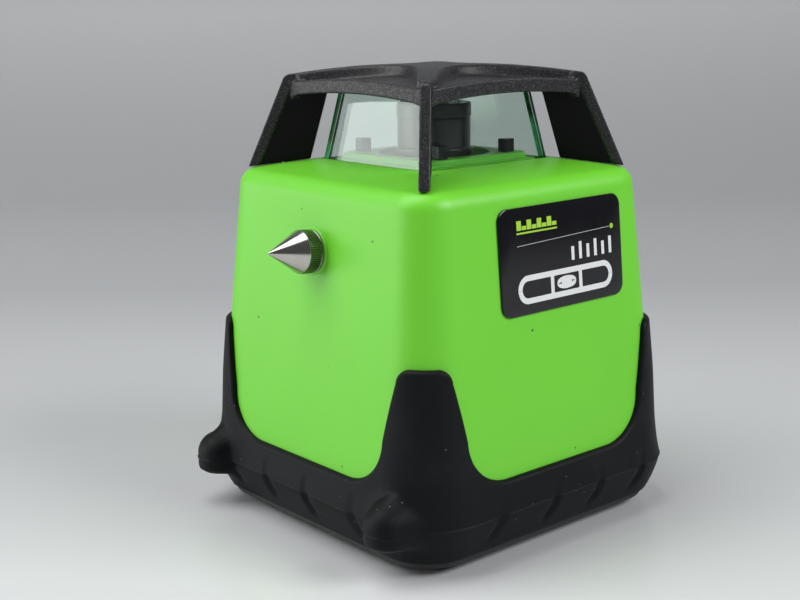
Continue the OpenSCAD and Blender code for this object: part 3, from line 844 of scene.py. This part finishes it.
def moulding(obj):
    """Fuses overlapping closed shells into one skin and rounds its edges."""
    fuse = obj.modifiers.new("fuse", "REMESH")
    fuse.mode = "VOXEL"
    fuse.voxel_size = 0.36 * MM
    relax = obj.modifiers.new("relax", "SMOOTH")
    relax.factor = 0.5
    relax.iterations = 10
    thin = obj.modifiers.new("thin", "DECIMATE")
    thin.ratio = 0.35
    baked(obj)
    obj.data.shade_smooth()
    return obj


def top_cage():
    parts = [fin(45 + 90 * k) for k in range(4)]
    parts += [fascia(side) for side in range(4)] + [roof()]
    cage = moulding(join("cage", parts))
    dress(cage, CAGE, "case", "cage_plastic", "top_cage", weighted=False)
    # The faces of the fin webs take the darker copy: painted shade.
    cage.data.materials.append(WEB_SHADE_BLACK)
    for face in cage.data.polygons:
        x, y, z = face.center / MM
        off = abs(abs(x) - abs(y)) * math.sqrt(0.5)
        normal = face.normal
        facing = abs(normal.x - math.copysign(1, x * y) * normal.y) * math.sqrt(0.5)
        web = off < WEB_T / 2 + 0.12 and facing > 0.7 and z < 187
        face.material_index = int(web)


def panes():
    """Four leaning panes: the -Y and +Y ones cover the edges of the other two."""
    tall = (GLASS_Z1 - GLASS_Z0) / math.cos(GLASS_LEAN)
    narrowing = (GLASS_Z1 - GLASS_Z0) * math.tan(GLASS_LEAN)
    foot = GLASS_HALF + (PLATEAU_Z - GLASS_Z0) * math.tan(GLASS_LEAN)
    for side, name in enumerate(("front", "right", "rear", "left")):
        inset = side % 2 * (GLASS_T + 0.3)
        low, high = foot - inset, foot - inset - narrowing
        outline = [(-low, 0), (low, 0), (high, tall), (-high, tall)]
        lean = Matrix.Rotation(-GLASS_LEAN, 4, "X")
        place = rotate(90 * side) @ move(0, -foot, GLASS_Z0) @ lean
        pane = prism("pane_" + name, outline, GLASS_T, place @ move(0, GLASS_T / 2, 0))
        soften(pane, 0.22, 2)
        dress(pane, PANE, "case", "pane_glass", "window_" + name)
        pane.data.materials.append(GLASS_EDGE)
        out = place.to_3x3() @ Vector((0, 1, 0))
        for face in pane.data.polygons:
            face.material_index = int(abs(face.normal.dot(out)) < 0.5)


def receivers():
    """Four dark glossy blocks for the remote control's signal, dimpled on their outward faces."""
    blocks = []
    for x, y in CORNERS:
        place = move(19.3 * x, 23.3 * y, PLINTH_Z + 2.85)
        spot = move(0, 3.1, 0.4) @ rotate(90, "X")
        dimples = [rod(1.1, -1, 1, place @ rotate(heading) @ spot, 24)
                   for heading in (90 - 90 * y, -90 * x)]
        blocks.append(cut(box("receiver", 5, 5, 5.7, place, 0.35), dimples))
    dress(join("receivers", blocks), LENS_BLACK, "case", "receiver_plastic", "remote_receivers")


# ---- Rotor ----

WINDOW_Z = 166


def rotor():
    """The spinning head: flange, barrel with a framed window, and a stepped cap."""
    head = lathe("head", [
        (14, 156), (15.1, 156), (15.4, 156.35), (15.4, 159), (15.25, 159.4),
        (15, 159.6), (14.8, 160), (14.9, 160.3), (14.9, 171.7), (14.7, 172.2), (14, 172.3),
        (13.3, 172.3), (13.3, 158.6), (3.6, 158.6), (3.6, 156)], 96, sharp=28)
    turn = rotate(45)
    hole = box("cut", 9, 10, 10, turn @ move(14, 0, WINDOW_Z), 0.8)
    surround = box("surround", 1, 12.6, 12.6, turn @ move(14.2, 0, WINDOW_Z), 0.4)
    inner = box("cut", 4, 10, 10, turn @ move(14.3, 0, WINDOW_Z), 0.8)
    cut(head, [hole])
    cut(surround, [inner])
    dress(join("rotor_head_shell", [head, surround]), ROTOR_BLACK, "rotor", "head_plastic",
          "rotor_head")
    cap = lathe("rotor_cap_shell", [
        (13.9, 172.45), (15, 172.45), (15.25, 172.7), (15.2, 177.7), (15, 178.2), (14.5, 178.45),
        (11, 178.5), (10.6, 178.2), (10.2, 178.2), (9.8, 178.45), (0.4, 178.5)], 96, sharp=28)
    dress(cap, ROTOR_BLACK, "rotor", "head_plastic", "rotor_cap")


# ---- Name badge ----

BADGE_X = 8.6
BADGE_Z = 119.9
BADGE_W = 72.3
BADGE_H = 43.1


def ribbon(path, width, matrix, height):
    """A thin printed line along an (x, y) path, laid just over a face of the given height.

    It is closed if the path ends where it starts.
    """
    points, faces = [], []
    closed = path[0] == path[-1]
    path = path[:-1] if closed else path
    count = len(path)
    for i, (x, y) in enumerate(path):
        x0, y0 = path[i - 1] if closed or i else path[0]
        x1, y1 = path[(i + 1) % count] if closed or i < count - 1 else path[-1]
        length = math.hypot(x1 - x0, y1 - y0)
        nx, ny = (y0 - y1) / length * width / 2, (x1 - x0) / length * width / 2
        for s in (-1, 1):
            px, py = x + s * nx, y + s * ny
            points += [(px, py, height(px, py) - 0.03), (px, py, height(px, py) + 0.02)]
    for i in range(count if closed else count - 1):
        a, b = 4 * i, 4 * ((i + 1) % count)
        faces += [(a, a + 2, b + 2, b), (a + 1, b + 1, b + 3, a + 3),
                  (a, b, b + 1, a + 1), (a + 2, a + 3, b + 3, b + 2)]
    if not closed:
        last = 4 * (count - 1)
        faces += [(0, 1, 3, 2), (last, last + 2, last + 3, last + 1)]
    return new_object("line", points, faces, matrix)


def prints(name, ink, body, slot, matrix, height, paths):
    """Printed lines, each (width, path), as one piece."""
    lines = [ribbon(path, width, matrix, height) for width, path in paths]
    dress(join(name, lines), ink, body, slot)


def ellipse(cx, cy, rx, ry, start=0, end=360, count=32):
    turns = [sin_cos(start + (end - start) * i / count) for i in range(count + 1)]
    path = [(cx + rx * cosine, cy + ry * sine) for sine, cosine in turns]
    return path[:-1] + path[:1] if end - start == 360 else path


def line(x0, y0, x1, y1, count=2):
    return [(x0 + (x1 - x0) * i / count, y0 + (y1 - y0) * i / count) for i in range(count + 1)]


# Height of the badge's domed face at each distance in from its edge.
BADGE_DOME = [(0, 0.05), (0, 0.7), (0.12, 0.92), (0.5, 1.02), (1.2, 1.13), (2.4, 1.3),
              (4, 1.48), (5.5, 1.56), (9, 1.6), (16, 1.61)]


def badge_face(x, y):
    depth = min(BADGE_W / 2 - abs(x), BADGE_H / 2 - abs(y))
    return between(BADGE_DOME[3:], depth) + 0.02


def name_badge():
    """Domed black badge; its print is a levelling staff and a bubble vial, with no lettering."""
    place = on_face(0, BADGE_Z, BADGE_X)
    rings = [rounded_ring(BADGE_W / 2 - d, BADGE_H / 2 - d, max(5 - d * 0.6, 1), z, 8)
             for d, z in BADGE_DOME]
    plate = loft("badge", rings, caps=True, matrix=place, sharp=50)
    dress(plate, BADGE, "case", "badge_film", "name_badge")
    film = ("case", "badge_film", place, badge_face)
    staff = [(2.6, line(-25.5 + 2.9 * i, 12.6, -25.5 + 2.9 * i, 16.4 - 2.2 * (i % 2)))
             for i in range(8)]
    staff += [(0.7, line(-27, 11.4, -3.7, 11.4, 12)), (1.2, ellipse(29.5, 8.2, 0.5, 0.5, count=12))]
    prints("badge_staff", INK_GREEN, *film, staff)
    prints("badge_beam", INK_PALE, *film, [(0.25, line(-27, 6.4, 28, 8.1, 30))])
    bars = [(1.7, line(5 + 4.6 * i, -3, 5 + 4.6 * i, 2.6 + 1.5 * (i % 2), 3)) for i in range(6)]
    prints("badge_scale", INK_WHITE, *film, bars)
    vial = [(x, y) for x, y, _ in rounded_ring(27, 4.6, 4.5, 0)]
    mark = [(2.3, [(x + 0.5, y - 11.4) for x, y in vial + vial[:1]])]
    mark += [(1.9, line(0.5 + x, -15, 0.5 + x, -7.8, 4)) for x in (-8.4, 8.4)]
    mark += [(2.6, ellipse(0.5, -11.4, 4.4, 1.3)), (2.4, line(-3, -11.4, 4, -11.4, 8))]
    prints("badge_vial", INK_WHITE, *film, mark)


# ---- Cone foot ----


def cone_foot():
    """Nickel-plated cone on a duller knurled collar, over a plain washer."""
    place = on_face(3, CONE_Z)
    washer = ring_lathe("washer", [
        (4.2, 1.02), (8.75, 1.02), (8.95, 1.2), (8.95, 1.8), (8.75, 1.97), (4.2, 1.97)], 64, place)
    dress(washer, DULL_NICKEL, "foot_washer", "nickel", "foot_washer")
    rings = [toothed_ring(r, z, 60, depth / r) for r, z, depth in (
        (8, 2, 0), (8.6, 2.05, 0), (8.85, 2.35, 0.45), (9, 2.6, 0.6), (9, 4.8, 0.6),
        (9, 7, 0.6), (8.9, 7.3, 0.3), (8.75, 7.5, 0), (8.4, 7.55, 0))]
    collar = loft("collar", rings, caps=True, matrix=place, sharp=25)
    stud = lathe("stud", [(3.5, -12), (3.9, -11.6), (3.9, 2)], 48, place)
    dress(join("knurled_collar", [collar, stud]), DULL_NICKEL, "cone_foot", "nickel", "cone_foot")
    cone = lathe("cone", [
        (8.6, 7.5), (8.7, 7.56), (8.7, 7.75), (6.5, 11.5), (3.8, 16.2), (1.2, 20.9), (0.85, 21.6),
        (0.45, 22.2), (0.1, 22.5)], 96, place, 20)
    dress(cone, NICKEL, "cone_foot", "nickel", "cone_foot")


# ---- Underside ----


def underside():
    """Bottom cover with its rim and screw wells, corner feet, and the tripod bush."""
    cover = loft("cover", square_rings([
        (12.3, 12.3, 3.2), (70.2, 19, 3.2), (71.2, 19.8, 3.7), (71.4, 19.9, 4.6),
        (71.4, 19.9, 13.7), (69, 17.6, 13.7), (69, 17.6, 6.2), (12.3, 12.3, 6.2)]), closed=True)
    cutters = [loft("groove", square_rings([
        (half, 6, 2.6), (half, 6, 3.7), (half - 1.2, 5, 3.7), (half - 1.2, 5, 2.6)]),
        closed=True) for half in (34, 44)]
    cut(cover, cutters)
    parts, wells = [], []
    for x, y in CORNERS:
        at = move(56 * x, 56 * y, 0)
        parts.append(ring_lathe("boss", [
            (1.7, 6.3), (3.4, 6.2), (5.5, 6.2), (5.5, 13.8), (1.7, 13.8)], 40, at))
        parts.append(rod(4, 6.1, 18, move(44 * x, 44 * y, 0), 40))
        wells += [rod(3.4, 2, 6.25, at, 32), rod(1.7, 5, 8, at, 24)]
    whole = join("bottom_plate", [cut(cover, wells)] + parts)
    dress(whole, BLACK, "case", "cover_plastic", "bottom_cover")

    foot = loft("feet", square_rings([
        (65, 18.4, 0), (65.8, 18.9, 0.5), (66, 19, 1.2), (66, 19, 3.1)]), caps=True)
    cross = [box("cut", 76, 200, 10), box("cut", 200, 76, 10)]
    cross += [box("tread", 1.2, 90, 1.2, rotate(45 + 90 * quarter) @ move(72 + 5 * i, 0, 0))
              for quarter in range(4) for i in range(3)]
    dress(cut(foot, cross), FOOT, "case", "foot_rubber", "corner_feet")

    thread = [(6.85 + (0.75 if i % 2 else 0), 15.4 - 1.15 * i) for i in range(13)]
    bush = ring_lathe("thread_bush", [
        (23.4, 0), (24, 0.5), (24, 3.1), (12, 3.1), (12, 16), (6.85, 16)]
        + thread + [(7.9, 0)], 72)
    dress(bush, BUSH, "case", "bush_alloy", "tripod_bush")


# ---- Control panel ----


# Each button's pictogram: lines of (x, y) points about the button's centre, in millimetres.
BUTTON_MARKS = {
    "power_button": [ellipse(0, 0, 1.7, 1.7, 120, 420), line(0, 0.4, 0, 2.3)],
    "speed_button": [ellipse(0, -0.4, 1.8, 1.8, 20, 160), line(0, -0.8, 1.1, 0.9)],
    "scan_button": [line(-2, -1, 2, -1), line(-2, -1, 0, 1.6), line(2, -1, 0, 1.6)],
    "mode_button": [line(-1.6, 1.2, 1.6, 1.2), line(-1.6, 0, 1.6, 0),
                    line(-1.6, -1.2, 1.6, -1.2)],
    "up_button": [line(-1.6, -0.7, 0, 1.1), line(0, 1.1, 1.6, -0.7)],
    "down_button": [line(-1.6, 0.7, 0, -1.1), line(0, -1.1, 1.6, 0.7)],
}
PANEL_W = 66
PANEL_H = 50


def film_face(*_):
    return 1.22


def button_face(x, y):
    return 2.42 + 0.012 * (x * x + y * y)


def control_panel():
    place = on_face(1, PANEL_Z)
    rings = [rounded_ring(PANEL_W / 2 - d, PANEL_H / 2 - d, 5 - d, z) for d, z in (
        (0, 0.05), (0, 0.75), (0.15, 1), (0.45, 1.15), (1.3, 1.2), (1.6, 1.05), (1.9, 1.05),
        (2.2, 1.2))]
    film = loft("panel", rings, caps=True, matrix=place, sharp=40)
    dress(cut(film, panel_cutters(-1, 3, 24), 40), PANEL, "case", "panel_film", "control_panel")
    marks = [(0.35, line(-26, 12.6, 26, 12.6, 8))]
    marks += [(0.3, ellipse(x, y, 5.6, 5.6)) for x, y in BUTTONS.values()]
    prints("panel_print", INK_PALE, "case", "panel_film", place, film_face, marks)

    for name, (x, y) in BUTTONS.items():
        spot = on_face(1, PANEL_Z, x, y)
        cap = lathe(name + "_cap", [
            (4.2, -3.4), (4.2, 2.05), (4.1, 2.35), (3.85, 2.53), (3.4, 2.6), (2.4, 2.5),
            (1.2, 2.42), (0, 2.4)], 48, spot)
        dress(cap, BUTTON, name, "button_rubber", name)
        icon = [(0.42, path) for path in BUTTON_MARKS[name]]
        prints(name + "_icon", INK_WHITE, name, "button_rubber", spot, button_face, icon)

    lights = [lathe("light", [
        (1.2, -5.2), (1.2, 0.8), (1.13, 1.2), (0.9, 1.55), (0.5, 1.85), (0, 2)], 32,
        on_face(1, PANEL_Z, x, LIGHT_Y)) for x in LIGHT_XS]
    dress(join("status_lenses", lights), LIGHT, "case", "light_lens", "status_lights")


# ---- Battery door and charging socket ----


def battery_door():
    place = on_face(2, DOOR_Z)
    at = on_face(2, DOOR_Z, 0, LATCH_Y)
    hinge = on_face(2, DOOR_Z, *DOOR_HINGE) @ rotate(90, "Y")
    door = box("door", 65.8, 57.8, 3, place @ move(0, 0.1, -1.5), 0.7)
    well = lathe("well", [(4.9, -0.45), (5.4, 1)], 48, at)
    grooves = [box("groove", 44 - 2 * abs(i), 1.3, 1.2,
                   on_face(2, DOOR_Z, 0, 8 + 3.2 * i, 0.1), 0.3) for i in range(-3, 4)]
    outline = [rounded_ring(*row) for row in (
        (30, 24, 3, -0.25), (30, 24, 3, 1), (29.4, 23.4, 2.6, 1), (29.4, 23.4, 2.6, -0.25))]
    trim = loft("trim", outline, closed=True, matrix=place @ move(0, -2.2, 0))
    cut(door, [well, rod(LATCH_R, -5, 3, at, 32), trim] + grooves)
    knuckle = cut(rod(1.6, -33, 33, hinge, 32), [rod(0.85, -40, 40, hinge, 24)])
    whole = join("door_panel", [door, knuckle])
    dress(whole, GREEN, "battery_door", "case_green", "battery_door")

    pin = lathe("hinge_rod", [(0.6, -36.2), (0.8, -36), (0.8, 36), (0.6, 36.2)], 24, hinge)
    dress(pin, STEEL, "case", "steel", "door_hinge_pin")

    knob = [toothed_ring(r, z, 32, 0.06 if 0.5 < z < 2.6 else 0) for r, z in (
        (2.3, -6), (2.3, 0.3), (3.7, 0.3), (4, 0.55), (4, 0.7), (4, 2.3), (4, 2.65), (3.7, 2.88))]
    bar = box("bar", 1.6, 6.8, 1, at @ move(0, 0, 3.3), 0.3)
    dress(join("door_knob", [loft("knob", knob, caps=True, matrix=at, sharp=25), bar]), BLACK,
          "door_screw", "cover_plastic", "door_thumb_screw")


def charging_socket():
    place = on_face(2, SOCKET_Z)
    hinge = on_face(2, SOCKET_Z, *CAP_HINGE) @ rotate(90, "Y")
    plate = loft("plate", [rounded_ring(11.5 - d, 12.5 - d, 3 - d, z) for d, z in (
        (0, 0.05), (0, 0.6), (0.25, 0.85))], caps=True, matrix=place @ move(0, -1.4, 0))
    lugs = [cut(box("lug", 2.7, 2.8, 3.2, place @ move(x, -11.4, 2), 0.5),
                [rod(0.65, -15, 15, hinge, 24)]) for x in (-5.65, 5.65)]
    barrel = ring_lathe("barrel", [
        (4.8, 0.1), (7.1, 0.1), (7.1, -13), (0.01, -13), (0.01, -11), (4.8, -11)], 48, place)
    body = [cut(plate, [rod(4.8, -11, 3, place)]), barrel] + lugs
    dress(join("socket_body", body), BLACK, "case", "socket_plastic", "charge_socket")

    disc = lathe("disc", [
        (8.1, 1.2), (8.5, 1.5), (8.5, 2.4), (8.2, 2.75), (7.4, 2.8), (7.1, 2.6), (6.7, 2.6),
        (6.4, 2.78), (0, 2.8)], 64, place)
    plug = lathe("plug", [(4.1, 1), (4.35, 1.1), (4.4, 1.4)], 48, place)
    strap = box("strap", 6, 6, 1.6, on_face(2, SOCKET_Z, 0, -8.4, 2), 0.4)
    roll = lathe("roll", [
        (0.5, -6.8), (0.6, -6.7), (0.6, -4), (0.95, -4), (1.05, -3.9), (1.05, 3.9),
        (0.95, 4), (0.6, 4), (0.6, 6.7), (0.5, 6.8)], 32, hinge)
    tab = box("tab", 7, 1.6, 1.2, on_face(2, SOCKET_Z, 0, 8, 2.15), 0.4)
    dress(join("socket_flap", [disc, plug, strap, roll, tab]), SEAL, "socket_cap", "cap_rubber",
          "socket_cap")


# ---- Inside ----

# The CAD nodes that are shown as they are, by material.
INSIDE = (
    (STEEL, "case_screws cage_screws battery_springs gimbal_pins level_plunger_a "
            "level_plunger_b spindle_bearings rotor_spindle"),
    (BRASS, "foot_insert laser_tube motor_pulley"),
    (OPTIC, "collimator_lens pentaprism head_lens"),
    (CAN, "level_motor_a level_motor_b spin_motor"),
    (ALLOY, "gimbal_chassis gimbal_ring"),
    (BOARD, "panel_board main_board"),
    (SEAL, "window_seal"), (BLACK, "battery_tray"), (SLEEVE, "battery_cells"),
    (ANODISED, "laser_barrel"), (BELT, "drive_belt"), (VIAL, "level_vials"),
    (SATIN_BLACK, "rotor_pulley"),
)


def inside():
    for material, names in INSIDE:
        for name in names.split():
            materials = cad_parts[name].data.materials
            materials.clear()
            materials.append(material)


# ---- Camera, floor and light ----

EYE = Vector((-385.83, -425.5, 222.12)) * MM
HEADING = math.radians(-40.628)
DIP = math.radians(12.852)
ROLL = math.radians(-0.745)
LENS = 59.43


def camera():
    """Camera at the spot, heading and roll that the object's own edges give."""
    ahead = Vector((-math.sin(HEADING) * math.cos(DIP), math.cos(HEADING) * math.cos(DIP),
                    -math.sin(DIP)))
    right = ahead.cross(Vector((0, 0, 1))).normalized()
    up = right.cross(ahead)
    side = right * math.cos(ROLL) + up * math.sin(ROLL)
    rise = up * math.cos(ROLL) - right * math.sin(ROLL)
    pose = Matrix((side, rise, -ahead)).transposed().to_4x4()
    pose.translation = EYE
    data = bpy.data.cameras.new("camera")
    data.lens = LENS
    eye = linked("camera", data)
    eye.matrix_world = pose
    bpy.context.scene.camera = eye


def floor():
    """Pale sweep: a flat floor that curves up into a wall behind the object, painted darker away
    from the object and a mid grey up the wall as painted shade.
    """
    away = Vector((0.651, 0.759, 0))
    along = Vector((0.759, -0.651, 0))
    bend, reach, width = 1.2, 0.9, 5
    section = [(-4, 0), (reach, 0)]
    section += [(reach + bend * sine, bend * (1 - cosine))
                for sine, cosine in (sin_cos(3.75 * i) for i in range(1, 25))]
    section.append((reach + bend, 4))
    points = [(away * d + along * w + Vector((0, 0, h))) for d, h in section
              for w in (-width, width)]
    faces = [(2 * i, 2 * i + 1, 2 * i + 3, 2 * i + 2) for i in range(len(section) - 1)]
    sweep = new_object("floor", [p / MM for p in points], faces)
    shader = Shader("floor", (0.76, 0.77, 0.78), 0.3)
    # Painted shade: the floor's colour darkens with distance, and the wall is painted a mid grey.
    depth = shader.node("VectorMath", (0, shader.place), (1, away + Vector((0, 0, 0.5))))
    depth.operation = "DOT_PRODUCT"
    far = shader.ramp(depth.outputs["Value"], -0.65, 0.45)
    ground_painted_shade = shader.mix(far, (0.83, 0.84, 0.85), (0.35, 0.36, 0.37))
    parts = shader.node("SeparateXYZ", Vector=shader.place)
    high = shader.ramp(parts.outputs["Z"], 0, 0.2)
    shader.paint(high, ground_painted_shade, (0.52, 0.53, 0.54))
    sweep.data.materials.append(shader.material)


def softbox(name, place, target, size, power):
    data = bpy.data.lights.new(name, "AREA")
    data.shape = "RECTANGLE"
    data.size, data.size_y = size
    data.energy = power
    lamp = linked(name, data)
    lamp.location = place
    lamp.rotation_euler = (Vector(target) - Vector(place)).to_track_quat("-Z", "Y").to_euler()


def lighting():
    softbox("left_key", (-1.25, 0.75, 1.15), (0, 0, 0.1), (1.2, 0.9), 12.5)
    softbox("left_panel", (-1.25, 1.05, 0.22), (0, 0, 0.12), (1.6, 0.5), 9)
    softbox("right_key", (0.75, -1.55, 1.3), (0, 0, 0.1), (1.2, 0.9), 35)
    softbox("top", (-0.6, 0.35, 1.85), (0, 0, 0), (1.4, 1.4), 25)
    world = bpy.data.worlds.new("studio")
    world.use_nodes = True
    inputs = world.node_tree.nodes["Background"].inputs
    inputs["Color"].default_value = (0.8, 0.83, 0.86, 1)
    inputs["Strength"].default_value = 0.11
    bpy.context.scene.world = world
    bpy.context.scene.view_settings.view_transform = "Standard"


housing_shell()
rubber_boot()
top_cage()
panes()
receivers()
rotor()
name_badge()
cone_foot()
underside()
control_panel()
battery_door()
charging_socket()
inside()
camera()
floor()
lighting()
